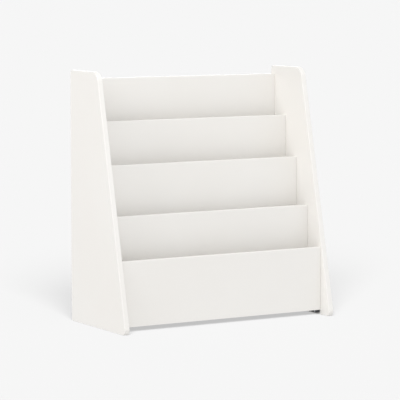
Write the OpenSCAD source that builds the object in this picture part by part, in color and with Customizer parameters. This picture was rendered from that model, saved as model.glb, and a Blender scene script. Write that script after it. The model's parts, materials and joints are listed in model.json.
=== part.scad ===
// Children's bookcase that shows books by their front covers.
// Five upright boards climb in steps between two side panels. Each upright is the front of its
// own pocket and the back of the pocket below it, and a narrow floor closes every pocket.
// Millimetres. X runs across the case, Y from front to back, Z up.
// The origin is on the floor, under the middle of the case's outer box.

/* [Case] */
// Width over both side panels
case_w = 680; // [520:1:900]
// Height of the side panels
case_h = 708; // [580:1:900]
// Depth of a side panel along the floor, before its corners are rounded
case_d = 318; // [260:1:400]
// Depth of a side panel along its top edge, before its corners are rounded
top_d = 158; // [125:1:220]
// Thickness of every board
board_t = 15; // [12:0.5:19]

/* [Side panel corners] */
// Radius of the front corner at the top
crown_r = 34; // [5:1:50]
// Radius of the rear corner at the top
nape_r = 10; // [2:1:30]
// Radius of the front corner at the floor
toe_r = 15; // [2:1:30]

/* [Uprights] */
// Gap between the floor and the lowest boards
toe_gap = 14; // [12:0.5:40]
// Height of the lowest front board
front_board_h = 182; // [150:1:220]
// Rise from the lowest lip to the second lip
first_rise = 115; // [80:1:140]
// Rise from the second lip to the third, beyond the rise of the steps above it
tall_rise_extra = 18; // [0:1:40]
// Drop from the top of the side panels to the top of the back panel
back_drop = 24; // [0:1:40]
// Distance of the lowest lip behind the sloping edge of the side panels
lip_setback = 4; // [0:0.5:12]
// Distance of the back panel in from the rear edge of the side panels
back_inset = 7; // [1:0.5:12]

/* [Pockets] */
// Clear depth, front to back, of the lowest pocket
front_pocket_d = 54; // [40:1:66]
// Drop from the lip of an upper pocket to its floor
pocket_drop = 150; // [110:1:180]

/* [Rear rail] */
// Height of the rail that ties the side panels together at the bottom of the back
rail_h = 70; // [60:1:120]

/* [Cam joints] */
// Diameter of a cam lock
cam_d = 15; // [12:0.5:18]
// Distance from the end of a board to the centre of its cam
cam_reach = 24; // [20:0.5:34]
// Wood left between the bottom of a cam hole and the front of the board
cam_skin = 2.5; // [1.5:0.1:4]
// Distance from the top or bottom edge of an upright to its nearest cam
cam_from_edge = 45; // [30:1:50]
// Diameter of a cam bolt's shaft and thread
bolt_d = 5; // [4:0.1:6]
// Length of a cam bolt's thread in the side panel
bolt_bite = 10.5; // [8:0.5:11]
// Diameter of a cam bolt's ball head
ball_d = 7; // [6:0.1:7.4]
// Diameter of a cam bolt's neck
neck_d = 3.6; // [2.5:0.1:4]
// Diameter of the hole that a cam bolt runs through in the end of a board
bolt_hole_d = 8; // [7.6:0.1:9]
// Diameter of the cap that hides a cam
cap_d = 18; // [16:0.5:22]
// Thickness of a cam cap
cap_t = 0.8; // [0.5:0.1:1.5]

/* [Dowels] */
// Diameter of a dowel
dowel_d = 8; // [6:0.1:9.6]
// Length of a dowel in the piece that it is driven into across the thickness
dowel_bite = 9.5; // [7:0.5:10]
// Length of a dowel in the edge of the piece that it joins
dowel_tail = 20; // [15:0.5:24]
// Distance between a cam and the dowel beside it
cam_to_dowel = 32; // [24:1:36]

/* [Floor screws] */
// Diameter of the head
screw_head_d = 10; // [8.5:0.5:11]
// Diameter of the plain shank
shank_d = 7; // [6:0.1:7.5]
// Diameter of the thread
thread_d = 5; // [4:0.1:5.6]
// Length of thread in a pocket floor
thread_l = 25; // [18:1:34]
// Distance from the inner face of a side panel to the first screw
screw_from_side = 60; // [40:1:90]

/* [Base blocks] */
// Width of a base block, out from the side panel
block_w = 12; // [10:0.5:16]
// Height of a base block
block_h = 8.5; // [8.5:0.5:12]
// Length of a base block, front to back
block_l = 38; // [30:1:60]
// Distance of a base block behind the face of the lowest front board
block_setback = 4; // [1:0.5:12]
// Diameter of a block screw
block_screw_d = 3.5; // [3:0.1:4]
// Length of a block screw in the side panel
block_screw_bite = 10; // [6:0.5:10.5]

/* [Wall fixing] */
// Diameter of the two pilot holes for a wall strap in the back panel
pilot_d = 3; // [2:0.1:4]
// Depth of the pilot holes
pilot_depth = 10; // [6:0.5:10.5]
// Distance between the pilot holes
pilot_spacing = 32; // [20:1:64]
// Distance of the pilot holes below the top of the back panel
pilot_drop = 60; // [30:1:120]

/* [Hidden] */
$fn = 64;

// Clearances
fit = 0.1;              // all round a fastener in its hole
end_play = 0.5;         // past the end of a dowel, bolt or screw in a blind hole
cut = 1;                // how far a cutter runs out past a face

// Small features
chamfer = 0.8;          // ends of dowels and thread tips
collar_d = 7.2;         // shoulder of a cam bolt
collar_t = 1.5;
ball_room = 0.3;        // round the ball head in its cam
drive_depth = 2;        // cross recess in a cam, which also takes the cap's peg
drive_w = 1.4;
drive_l = 6.6;
peg_l = 1.6;
head_t = 3;             // cone of a floor screw's head
hex_d = 4.6;            // hexagon socket, across its corners
hex_depth = 2.5;
block_head_d = 6.6;     // cone of a block screw's head
block_head_t = 2.4;
block_slot_w = 1;
block_slot_depth = 1;
block_screw_inset = 9;  // from the ends of a base block to its screws
block_bevel = 0.8;      // along the lower inner edge of a base block
heel_r = 2;             // rear corner of a side panel at the floor

// Worked-out places are kept to a hundredth of a millimetre, so that touching faces meet exactly
function hundredth(v) = round(v * 100) / 100;

// Places across the case
inner_w = case_w - 2 * board_t;
inner_x = inner_w / 2;
outer_screw_x = inner_x - screw_from_side;
floor_screw_xs = [-outer_screw_x, 0, outer_screw_x];
floor_dowel_xs = [-outer_screw_x / 2, outer_screw_x / 2];

// Heights of the five lips, and of the undersides of the floors and uprights
last = 4;
back_top = case_h - back_drop;
first_lip = toe_gap + front_board_h;
second_lip = first_lip + first_rise;
rise = hundredth((back_top - second_lip - tall_rise_extra) / 3);
third_lip = second_lip + rise + tall_rise_extra;
lip_z = [first_lip, second_lip, third_lip, third_lip + rise, back_top];
function floor_z(i) = i == 0 ? toe_gap : lip_z[i] - pocket_drop - board_t;
function upright_z(i) = i == 0 ? toe_gap : floor_z(i - 1);

// Places front to back: the side panel's rear and sloping edges, then the faces of each upright.
// The toe's rounding takes toe_cut off the depth, and the origin stays in the middle of the rest.
toe_angle = atan2(case_h, case_d - top_d);
toe_cut = toe_r / tan(toe_angle / 2) - toe_r;
panel_rear_y = hundredth((case_d - toe_cut) / 2);
function edge_y(z) = panel_rear_y - case_d + (case_d - top_d) * z / case_h;
first_y = hundredth(edge_y(first_lip) + lip_setback);
second_y = first_y + board_t + front_pocket_d;
back_y = panel_rear_y - back_inset - board_t;
step_y = hundredth((back_y - second_y) / 3);
upright_y = [first_y, second_y, second_y + step_y, second_y + 2 * step_y, back_y];
function rear_y(i) = upright_y[i] + board_t;
function mid_y(i) = upright_y[i] + board_t / 2;
function pocket_d(i) = upright_y[i + 1] - rear_y(i);

// Joints at the ends of the boards, each as [y, z]. A cam's y is the rear face of its board and a
// dowel's y is the middle of its board.
function upright_cam_zs(i) = [upright_z(i) + cam_from_edge, lip_z[i] - cam_from_edge];
function upright_dowel_zs(i) = i == 0
    ? [(upright_z(i) + lip_z[i]) / 2]
    : [upright_cam_zs(i)[0] + cam_to_dowel, upright_cam_zs(i)[1] - cam_to_dowel];
rail_mid_z = toe_gap + rail_h / 2;
function upright_cams(i) = [for (z = upright_cam_zs(i)) [rear_y(i), z]];
function upright_dowels(i) = [for (z = upright_dowel_zs(i)) [mid_y(i), z]];
function floor_end_dowel(i) = [rear_y(i) + pocket_d(i) / 2, floor_z(i) + board_t / 2];
rail_cam = [rear_y(last), rail_mid_z - cam_to_dowel / 2];
rail_dowel = [mid_y(last), rail_mid_z + cam_to_dowel / 2];
cams = concat([for (i = [0:last]) each upright_cams(i)], [rail_cam]);
end_dowels = concat(
    [for (i = [0:last]) each upright_dowels(i)],
    [for (i = [0:last - 1]) floor_end_dowel(i)],
    [rail_dowel]
);

// Base blocks and their screws
block_x = inner_x - block_w;
block_y = first_y + block_setback;
block_screw_ys = [block_y + block_screw_inset, block_y + block_l - block_screw_inset];
block_screw_z = toe_gap - block_h / 2;

// ---------- Frames: each places its children at a joint ----------

// Both ends of a board, with +Z pointing out of the board into the side panel
module at_ends(point) {
    for (side = [0, 1])
        mirror([side, 0, 0])
            translate([inner_x, point[0], point[1]])
                rotate([0, 90, 0])
                    children();
}

// The cams of a board, with +Z pointing back out of its rear face and +X towards its end
module at_cams(point) {
    for (side = [0, 1])
        mirror([side, 0, 0])
            translate([inner_x - cam_reach, point[0], point[1]])
                rotate([-90, 0, 0])
                    children();
}

// The dowels of a pocket floor, with +Z pointing forward into the upright
module at_floor_dowels(i) {
    for (x = floor_dowel_xs)
        translate([x, rear_y(i), floor_z(i) + board_t / 2])
            rotate([90, 0, 0])
                children();
}

// The screws of a pocket floor, with +Z pointing back out of the upright behind it
module at_floor_screws(i) {
    for (x = floor_screw_xs)
        translate([x, rear_y(i + 1), floor_z(i) + board_t / 2])
            rotate([-90, 0, 0])
                children();
}

// The screws of the right base block, with +Z pointing out into the side panel
module at_block_screws() {
    for (y = block_screw_ys)
        translate([block_x, y, block_screw_z])
            rotate([0, 90, 0])
                children();
}

// ---------- Cutters: one shape drills both pieces of a joint ----------

module bolt_hole() {
    cylinder(h = bolt_bite + end_play, d = bolt_d + 2 * fit);
    translate([0, 0, -cam_reach])
        cylinder(h = cam_reach, d = bolt_hole_d);
}

module cam_hole() {
    translate([0, 0, cam_skin - board_t])
        cylinder(h = board_t - cam_skin + cut, d = cam_d + 2 * fit);
}

module dowel_hole() {
    translate([0, 0, -dowel_tail - end_play])
        cylinder(h = dowel_tail + dowel_bite + 2 * end_play, d = dowel_d + 2 * fit);
}

module floor_screw_hole() {
    cylinder(h = cut, d = screw_head_d + 2 * fit);
    translate([0, 0, -head_t])
        cylinder(h = head_t, d1 = shank_d + 2 * fit, d2 = screw_head_d + 2 * fit);
    translate([0, 0, -board_t])
        cylinder(h = board_t, d = shank_d + 2 * fit);
    translate([0, 0, -board_t - thread_l - end_play])
        cylinder(h = thread_l + end_play + cut, d = thread_d + 2 * fit);
}

module block_screw_hole() {
    translate([0, 0, -cut])
        cylinder(h = cut, d = block_head_d + 2 * fit);
    cylinder(h = block_head_t, d1 = block_head_d + 2 * fit, d2 = block_screw_d + 2 * fit);
    cylinder(h = block_w + block_screw_bite + end_play, d = block_screw_d + 2 * fit);
}

module pilot_holes() {
    for (x = [-pilot_spacing / 2, pilot_spacing / 2])
        translate([x, rear_y(last) - pilot_depth, back_top - pilot_drop])
            rotate([-90, 0, 0])
                cylinder(h = pilot_depth + cut, d = pilot_d);
}

// ---------- Side panels ----------

function unit(v) = v / norm(v);

// A convex outline, listed anticlockwise, with each corner rounded to its own radius
module rounded_outline(corners, radii) {
    n = len(corners);
    before = [for (i = [0:n - 1]) unit(corners[(i + n - 1) % n] - corners[i])];
    after = [for (i = [0:n - 1]) unit(corners[(i + 1) % n] - corners[i])];
    half = [for (i = [0:n - 1]) acos(before[i] * after[i]) / 2];
    polygon([
        for (i = [0:n - 1])
            each [
                corners[i] + before[i] * radii[i] / tan(half[i]),
                corners[i] + after[i] * radii[i] / tan(half[i])
            ]
    ]);
    for (i = [0:n - 1])
        translate(corners[i] + unit(before[i] + after[i]) * radii[i] / sin(half[i]))
            circle(r = radii[i]);
}

module side_panel() {
    corners = [
        [edge_y(0), 0],
        [panel_rear_y, 0],
        [panel_rear_y, case_h],
        [edge_y(case_h), case_h]
    ];
    difference() {
        translate([inner_x, 0, 0])
            rotate([90, 0, 90])
                linear_extrude(board_t)
                    rounded_outline(corners, [toe_r, heel_r, nape_r, crown_r]);
        for (point = cams)
            at_ends([point[0] - board_t / 2, point[1]]) bolt_hole();
        for (point = end_dowels)
            at_ends(point) dowel_hole();
        at_block_screws() block_screw_hole();
    }
}

module side_panel_left() {
    color("whitesmoke")
        mirror([1, 0, 0])
            side_panel();
}

module side_panel_right() {
    color("whitesmoke")
        side_panel();
}

// ---------- Uprights ----------

module cam_joint(point) {
    at_ends([point[0] - board_t / 2, point[1]]) bolt_hole();
    at_cams(point) cam_hole();
}

module upright(i) {
    difference() {
        translate([-inner_x, upright_y[i], upright_z(i)])
            cube([inner_w, board_t, lip_z[i] - upright_z(i)]);
        for (point = upright_cams(i))
            cam_joint(point);
        for (point = upright_dowels(i))
            at_ends(point) dowel_hole();
        if (i < last)
            at_floor_dowels(i) dowel_hole();
        if (i > 0)
            at_floor_screws(i - 1) floor_screw_hole();
        if (i == last)
            pilot_holes();
    }
}

module front_board(number) {
    color("white")
        upright(number - 1);
}

module back_panel() {
    color("white")
        upright(last);
}

// ---------- Pocket floors and rear rail ----------

module pocket_floor(number) {
    i = number - 1;
    color("ivory")
        difference() {
            translate([-inner_x, rear_y(i), floor_z(i)])
                cube([inner_w, pocket_d(i), board_t]);
            at_ends(floor_end_dowel(i)) dowel_hole();
            at_floor_dowels(i) dowel_hole();
            at_floor_screws(i) floor_screw_hole();
        }
}

module rear_rail() {
    color("ivory")
        difference() {
            translate([-inner_x, back_y, toe_gap])
                cube([inner_w, board_t, rail_h]);
            cam_joint(rail_cam);
            at_ends(rail_dowel) dowel_hole();
        }
}

// ---------- Fasteners ----------

// A cross for drives and pegs, from one arm's end to the other's
module cross(length, width) {
    l = length / 2;
    w = width / 2;
    polygon([
        [l, -w], [l, w], [w, w], [w, l], [-w, l], [-w, w],
        [-l, w], [-l, -w], [-w, -w], [-w, -l], [w, -l], [w, -w]
    ]);
}

module cam_bolt() {
    shaft_end = cam_reach - cam_d / 2 - 2 * end_play;
    cylinder(h = bolt_bite - chamfer, d = bolt_d);
    translate([0, 0, bolt_bite - chamfer])
        cylinder(h = chamfer, d1 = bolt_d, d2 = bolt_d - 2 * chamfer);
    translate([0, 0, -collar_t])
        cylinder(h = collar_t, d = collar_d);
    translate([0, 0, -shaft_end])
        cylinder(h = shaft_end, d = bolt_d);
    translate([0, 0, -cam_reach])
        cylinder(h = cam_reach, d = neck_d);
    translate([0, 0, -cam_reach])
        sphere(d = ball_d);
}

module cam_lock() {
    depth = board_t - cam_skin - fit;
    difference() {
        translate([0, 0, -depth])
            cylinder(h = depth, d = cam_d);
        translate([-ball_d / 2 - ball_room, 0, -board_t / 2])
            rotate([0, 90, 0])
                cylinder(h = cam_d, d = ball_d + 2 * ball_room);
        translate([0, 0, -drive_depth])
            linear_extrude(drive_depth + cut)
                cross(drive_l, drive_w);
    }
}

module cam_cap() {
    edge = cap_t / 2;
    cylinder(h = cap_t - edge, d = cap_d);
    translate([0, 0, cap_t - edge])
        cylinder(h = edge, d1 = cap_d, d2 = cap_d - 2 * edge);
    translate([0, 0, -peg_l])
        linear_extrude(peg_l)
            cross(drive_l - 2 * fit, drive_w - 2 * fit);
}

module dowel() {
    translate([0, 0, -dowel_tail]) {
        cylinder(h = chamfer, d1 = dowel_d - 2 * chamfer, d2 = dowel_d);
        translate([0, 0, chamfer])
            cylinder(h = dowel_tail + dowel_bite - 2 * chamfer, d = dowel_d);
    }
    translate([0, 0, dowel_bite - chamfer])
        cylinder(h = chamfer, d1 = dowel_d, d2 = dowel_d - 2 * chamfer);
}

module floor_screw() {
    difference() {
        union() {
            translate([0, 0, -head_t])
                cylinder(h = head_t, d1 = shank_d, d2 = screw_head_d);
            translate([0, 0, -board_t])
                cylinder(h = board_t - head_t, d = shank_d);
            translate([0, 0, chamfer - board_t - thread_l])
                cylinder(h = thread_l - chamfer, d = thread_d);
            translate([0, 0, -board_t - thread_l])
                cylinder(h = chamfer, d1 = thread_d - 2 * chamfer, d2 = thread_d);
        }
        translate([0, 0, -hex_depth])
            cylinder(h = hex_depth + cut, d = hex_d, $fn = 6);
    }
}

module block_screw() {
    difference() {
        union() {
            cylinder(h = block_head_t, d1 = block_head_d, d2 = block_screw_d);
            cylinder(h = block_w + block_screw_bite - chamfer, d = block_screw_d);
            translate([0, 0, block_w + block_screw_bite - chamfer])
                cylinder(h = chamfer, d1 = block_screw_d, d2 = block_screw_d - 2 * chamfer);
        }
        translate([0, 0, -cut])
            linear_extrude(block_slot_depth + cut)
                cross(block_screw_d, block_slot_w);
    }
}

module cam_bolts() {
    color("silver")
        for (point = cams)
            at_ends([point[0] - board_t / 2, point[1]]) cam_bolt();
}

module cam_locks() {
    color("silver")
        for (point = cams)
            at_cams(point) cam_lock();
}

module cam_caps() {
    color("white")
        for (point = cams)
            at_cams(point) cam_cap();
}

module dowels() {
    color("burlywood") {
        for (point = end_dowels)
            at_ends(point) dowel();
        for (i = [0:last - 1])
            at_floor_dowels(i) dowel();
    }
}

module floor_screws() {
    color("silver")
        for (i = [0:last - 1])
            at_floor_screws(i) floor_screw();
}

// ---------- Base blocks: they carry the lowest boards at the side panels ----------

module base_block() {
    color("dimgray")
        difference() {
            translate([block_x, block_y + block_l, toe_gap - block_h])
                rotate([90, 0, 0])
                    linear_extrude(block_l)
                        polygon([
                            [block_bevel, 0],
                            [block_w, 0],
                            [block_w, block_h],
                            [0, block_h],
                            [0, block_bevel]
                        ]);
            at_block_screws() block_screw_hole();
        }
}

module base_block_left() {
    mirror([1, 0, 0])
        base_block();
}

module base_block_right() {
    base_block();
}

module block_screws() {
    color("silver")
        for (side = [0, 1])
            mirror([side, 0, 0])
                at_block_screws() block_screw();
}

// ---------- The bookcase ----------

side_panel_left();
side_panel_right();
front_board(1);  // front_board_1
front_board(2);  // front_board_2
front_board(3);  // front_board_3
front_board(4);  // front_board_4
back_panel();
pocket_floor(1);  // pocket_floor_1
pocket_floor(2);  // pocket_floor_2
pocket_floor(3);  // pocket_floor_3
pocket_floor(4);  // pocket_floor_4
rear_rail();
cam_bolts();
cam_locks();
cam_caps();
dowels();
floor_screws();
base_block_left();
base_block_right();
block_screws();
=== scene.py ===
"""Children's front-facing bookcase: eased and lacquered boards, and the fittings that join them.

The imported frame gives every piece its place. Each sub-assembly is a class that holds its own sizes
in metres, builds its meshes and dresses them in its finish.
"""
import json
import logging
import math
from abc import ABC, abstractmethod
from dataclasses import dataclass, field
from enum import Enum
from typing import Any, Optional, Sequence

import bmesh
import bpy
from mathutils import Matrix, Vector


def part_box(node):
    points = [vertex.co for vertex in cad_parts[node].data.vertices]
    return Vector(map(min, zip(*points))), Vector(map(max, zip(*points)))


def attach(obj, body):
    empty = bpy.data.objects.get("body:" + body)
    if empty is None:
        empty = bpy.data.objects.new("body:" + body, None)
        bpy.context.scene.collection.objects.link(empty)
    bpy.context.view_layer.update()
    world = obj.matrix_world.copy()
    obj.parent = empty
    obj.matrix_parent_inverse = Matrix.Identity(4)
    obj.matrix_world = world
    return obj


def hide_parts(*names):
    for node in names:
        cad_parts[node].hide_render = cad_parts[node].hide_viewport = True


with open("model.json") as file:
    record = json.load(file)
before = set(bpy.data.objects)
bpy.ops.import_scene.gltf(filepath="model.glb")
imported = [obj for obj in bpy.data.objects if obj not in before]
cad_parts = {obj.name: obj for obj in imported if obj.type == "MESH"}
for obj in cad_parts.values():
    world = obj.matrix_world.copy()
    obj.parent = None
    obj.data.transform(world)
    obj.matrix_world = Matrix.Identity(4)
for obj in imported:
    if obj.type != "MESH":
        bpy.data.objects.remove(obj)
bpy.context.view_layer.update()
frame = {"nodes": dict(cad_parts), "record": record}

Colour = tuple[float, float, float, float]
Corners = tuple[Vector, Vector]
Steps = tuple[tuple[float, float], ...]
Socket = bpy.types.NodeSocket

X_WAY = Vector((1, 0, 0))
Y_WAY = Vector((0, 1, 0))
Z_WAY = Vector((0, 0, 1))

BODY = "root"
MERGE = 1e-6
SORT_DIGITS = 4
ROUND_PROFILE = 0.5
SPIRAL_POINTS = 16
WHITE = (1.0, 1.0, 1.0, 1.0)
PATCH_EDGES = (0.35, 0.65)
GRAIN_EDGES = (0.3, 0.7)
log = logging.getLogger("bookcase")


class Slot(Enum):
    """The record's material slots."""

    LACQUER = "white_lacquer"
    STEEL = "zinc_steel"
    CASTING = "zinc_casting"
    CAP = "white_plastic"
    BEECH = "beech"
    BLOCK = "dark_plastic"


# ---------- Node trees ----------


class Graph:
    """Adds nodes to a shader or geometry tree and links them in one call."""

    def __init__(self, tree: bpy.types.NodeTree) -> None:
        """Starts on an empty tree."""
        self.tree = tree
        tree.nodes.clear()

    def add(self, kind: str, inputs: Optional[dict[Any, Any]] = None, **settings: Any) -> bpy.types.Node:
        """Adds one node.

        Args:
            kind: The node's type name.
            inputs: Each input's name or number, with a value or with the socket to link it to.
            **settings: The node's own properties.

        Returns:
            The new node.
        """
        node = self.tree.nodes.new(kind)
        for name, value in settings.items():
            setattr(node, name, value)
        for name, value in (inputs or {}).items():
            if isinstance(value, Socket):
                self.tree.links.new(value, node.inputs[name])
            else:
                node.inputs[name].default_value = value
        return node

    def math(self, operation: str, *values: Any) -> Socket:
        """Adds a Math node on up to three numbers or sockets."""
        return self.add("ShaderNodeMath", dict(enumerate(values)), operation=operation).outputs[0]

    def blend(self, share: Any, first: Any, second: Any) -> Socket:
        """Mixes two colours. The node takes colours at its inputs 6 and 7.

        Args:
            share: How much of the second colour shows, from 0 to 1.
            first: The first colour, or a socket.
            second: The second colour, or a socket.

        Returns:
            The mixed colour's socket.
        """
        inputs = {0: share, 6: first, 7: second}
        return self.add("ShaderNodeMix", inputs, data_type="RGBA").outputs[2]

    def spread(
        self, value: Any, edges: tuple[float, float], ends: tuple[float, float] = (0.0, 1.0)
    ) -> Socket:
        """Maps a range smoothly to another and clamps it.

        Args:
            value: The socket to map.
            edges: The start and end of the range.
            ends: What they become.

        Returns:
            The mapped value's socket.
        """
        inputs = dict(enumerate((value, *edges, *ends)))
        return self.add("ShaderNodeMapRange", inputs, interpolation_type="SMOOTHSTEP").outputs[0]

    def noise(self, place: Any, scale: float, detail: float, roughness: float = 0.5) -> Socket:
        """Adds a Noise Texture.

        Args:
            place: The coordinates' socket.
            scale: Cycles per metre.
            detail: Number of octaves.
            roughness: How strong the finer octaves are.

        Returns:
            The noise value's socket.
        """
        inputs = {"Vector": place, "Scale": scale, "Detail": detail, "Roughness": roughness}
        return self.add("ShaderNodeTexNoise", inputs).outputs[0]

    def patches(self, place: Any, scale: float, detail: float, roughness: float = 0.5) -> Socket:
        """Adds noise that falls into soft patches of 0 and 1."""
        return self.spread(self.noise(place, scale, detail, roughness), PATCH_EDGES)

    def attribute(self, name: str) -> bpy.types.Node:
        """Reads an attribute of the mesh."""
        return self.add("ShaderNodeAttribute", attribute_name=name)

    def bump(self, height: Any, strength: float, distance: float) -> Socket:
        """Turns a height into a relief.

        Args:
            height: The height's socket.
            strength: How much of the relief shows.
            distance: Height of the relief in metres.

        Returns:
            The normal's socket.
        """
        inputs = {"Strength": strength, "Distance": distance, "Height": height}
        return self.add("ShaderNodeBump", inputs).outputs[0]


# ---------- Finishes ----------


@dataclass(frozen=True)
class Finish(ABC):
    """A finish that several pieces share. Scales are in cycles per metre and heights in metres."""

    name: str

    @abstractmethod
    def shade(self, graph: Graph, place: Socket) -> bpy.types.Node:
        """Adds the finish's nodes on object coordinates and returns its Principled BSDF."""

    def material(self) -> bpy.types.Material:
        """Makes the finish's material the first time that it is asked for.

        Returns:
            The material.
        """
        found = bpy.data.materials.get(self.name)
        if found:
            return found
        made = bpy.data.materials.new(self.name)
        made.use_nodes = True
        graph = Graph(made.node_tree)
        place = graph.add("ShaderNodeTexCoord").outputs["Object"]
        surface = self.shade(graph, place)
        graph.add("ShaderNodeOutputMaterial", {"Surface": surface.outputs[0]})
        return made


@dataclass(frozen=True)
class Lacquer(Finish):
    """Satin white lacquer, sprayed on board, worn a little along its arrises and painted lighter there as a
    highlight.
    """

    name: str = "satin_white_lacquer"
    warm: Colour = (0.857, 0.837, 0.804, 1.0)
    pale: Colour = (0.867, 0.850, 0.820, 1.0)
    # Lighter colour for the arrises: partly wear, partly a painted highlight on the rounded edges.
    rubbed_and_highlit: Colour = (0.874, 0.860, 0.836, 1.0)
    cloud_scale: float = 3.2
    mottle_scale: float = 46.0
    peel_scale: float = 420.0
    dust_scale: float = 2100.0
    dust_share: float = 0.25
    rub_and_highlight_edges: tuple[float, float] = (0.40, 0.62)
    rub_and_highlight_ends: tuple[float, float] = (0.15, 0.8)
    rub_polish: float = 0.08
    sheen: tuple[float, float] = (0.36, 0.42)
    peel_height: float = 0.00005
    peel_strength: float = 0.35
    ior: float = 1.48

    def shade(self, graph: Graph, place: Socket) -> bpy.types.Node:
        """Adds the lacquer's clouds, orange peel and lighter arrises, which are partly wear and partly a
        painted highlight.

        Args:
            graph: The material's tree.
            place: Object coordinates.

        Returns:
            The Principled BSDF.
        """
        clouds = graph.patches(place, self.cloud_scale, detail=3.0)
        mottle = graph.noise(place, self.mottle_scale, detail=4.0, roughness=0.6)
        patchy = graph.spread(mottle, self.rub_and_highlight_edges, self.rub_and_highlight_ends)
        # The arrises get a lighter colour: partly wear, partly a painted highlight where light would catch
        # the rounded edges.
        rub_and_highlight = graph.math("MULTIPLY", graph.attribute("arris").outputs["Fac"], patchy)
        colour = graph.blend(rub_and_highlight, graph.blend(clouds, self.warm, self.pale), self.rubbed_and_highlit)
        satin = graph.spread(mottle, GRAIN_EDGES, self.sheen)
        polished = graph.math("MULTIPLY", rub_and_highlight, -self.rub_polish)
        peel = graph.noise(place, self.peel_scale, detail=1.5)
        dust = graph.noise(place, self.dust_scale, detail=1.0)
        relief = graph.math("MULTIPLY_ADD", dust, self.dust_share, peel)
        return graph.add("ShaderNodeBsdfPrincipled", {
            "Base Color": colour,
            "Roughness": graph.math("ADD", satin, polished),
            "IOR": self.ior,
            "Normal": graph.bump(relief, self.peel_strength, self.peel_height),
        })


@dataclass(frozen=True)
class Zinc(Finish):
    """Bright zinc, plated on steel or cast and tumbled."""

    bright: Colour
    dull: Colour
    bloom_scale: float
    grain_scale: float
    grain_height: float
    roughness: tuple[float, float]
    grain_strength: float = 0.5

    def shade(self, graph: Graph, place: Socket) -> bpy.types.Node:
        """Adds the metal's bloom and grain.

        Args:
            graph: The material's tree.
            place: Object coordinates.

        Returns:
            The Principled BSDF.
        """
        bloom = graph.patches(place, self.bloom_scale, detail=4.0, roughness=0.6)
        grain = graph.noise(place, self.grain_scale, detail=3.0, roughness=0.65)
        return graph.add("ShaderNodeBsdfPrincipled", {
            "Base Color": graph.blend(bloom, self.bright, self.dull),
            "Metallic": 1.0,
            "Roughness": graph.spread(grain, GRAIN_EDGES, self.roughness),
            "Normal": graph.bump(grain, self.grain_strength, self.grain_height),
        })


@dataclass(frozen=True)
class Plastic(Finish):
    """Moulded plastic with a spark-eroded texture."""

    base: Colour
    faded: Colour
    grain_scale: float
    grain_height: float
    roughness: tuple[float, float]
    drift_scale: float = 60.0
    grain_strength: float = 0.6
    ior: float = 1.5

    def shade(self, graph: Graph, place: Socket) -> bpy.types.Node:
        """Adds the mould's texture and a faint drift of colour.

        Args:
            graph: The material's tree.
            place: Object coordinates.

        Returns:
            The Principled BSDF.
        """
        drift = graph.patches(place, self.drift_scale, detail=2.0)
        grain = graph.noise(place, self.grain_scale, detail=3.0, roughness=0.6)
        return graph.add("ShaderNodeBsdfPrincipled", {
            "Base Color": graph.blend(drift, self.base, self.faded),
            "Roughness": graph.spread(grain, GRAIN_EDGES, self.roughness),
            "IOR": self.ior,
            "Normal": graph.bump(grain, self.grain_strength, self.grain_height),
        })


@dataclass(frozen=True)
class Beech(Finish):
    """Bare beech, with its grain along the attribute named along_grain."""

    name: str = "bare_beech"
    early: Colour = (0.62, 0.43, 0.27, 1.0)
    late: Colour = (0.47, 0.30, 0.17, 1.0)
    fleck: Colour = (0.36, 0.22, 0.12, 1.0)
    grain_stretch: float = 0.06
    ring_scale: float = 300.0
    ray_scale: float = 2600.0
    ray_edges: tuple[float, float] = (0.62, 0.72)
    ray_ends: tuple[float, float] = (0.0, 0.7)
    ray_height: float = 0.0001
    ray_strength: float = 0.6
    roughness: tuple[float, float] = (0.55, 0.7)

    def shade(self, graph: Graph, place: Socket) -> bpy.types.Node:
        """Adds growth rings, pores and the flecks of beech rays.

        Args:
            graph: The material's tree.
            place: Object coordinates, used only to make neighbours differ.

        Returns:
            The Principled BSDF.
        """
        own = graph.attribute("along_grain").outputs["Vector"]
        stretch = {"Vector": own, "Scale": (1.0, 1.0, self.grain_stretch)}
        long = graph.add("ShaderNodeMapping", stretch).outputs[0]
        shifted = graph.add("ShaderNodeVectorMath", {0: long, 1: place}, operation="ADD").outputs[0]
        rings = graph.patches(shifted, self.ring_scale, detail=3.0)
        rays = graph.spread(graph.noise(long, self.ray_scale, detail=2.0), self.ray_edges, self.ray_ends)
        colour = graph.blend(rays, graph.blend(rings, self.early, self.late), self.fleck)
        return graph.add("ShaderNodeBsdfPrincipled", {
            "Base Color": colour,
            "Roughness": graph.spread(rings, (0.0, 1.0), self.roughness),
            "Normal": graph.bump(rays, self.ray_strength, self.ray_height),
        })


LACQUER = Lacquer()
PLATED = Zinc(
    "bright_zinc_plate", bright=(0.72, 0.74, 0.77, 1), dull=(0.62, 0.64, 0.66, 1),
    bloom_scale=90.0, grain_scale=900.0, grain_height=4e-5, roughness=(0.2, 0.34),
)
CAST = Zinc(
    "tumbled_zinc_casting", bright=(0.58, 0.59, 0.61, 1), dull=(0.46, 0.47, 0.48, 1),
    bloom_scale=140.0, grain_scale=520.0, grain_height=1e-4, roughness=(0.36, 0.55),
)
CAP_PLASTIC = Plastic(
    "white_cap_plastic", base=(0.84, 0.83, 0.80, 1), faded=(0.87, 0.86, 0.84, 1),
    grain_scale=1400.0, grain_height=2e-5, roughness=(0.26, 0.36),
)
# Near-black plastic for the base blocks: painted shade for the deep gap under the lowest board, where the
# blocks stand.
SHADE_BLOCK_PLASTIC = Plastic(
    "painted_shade_block_plastic", base=(0.035, 0.035, 0.038, 1), faded=(0.05, 0.05, 0.052, 1),
    grain_scale=1500.0, grain_height=8e-5, roughness=(0.5, 0.68),
)
BEECH = Beech()


# ---------- Meshes ----------


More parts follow.
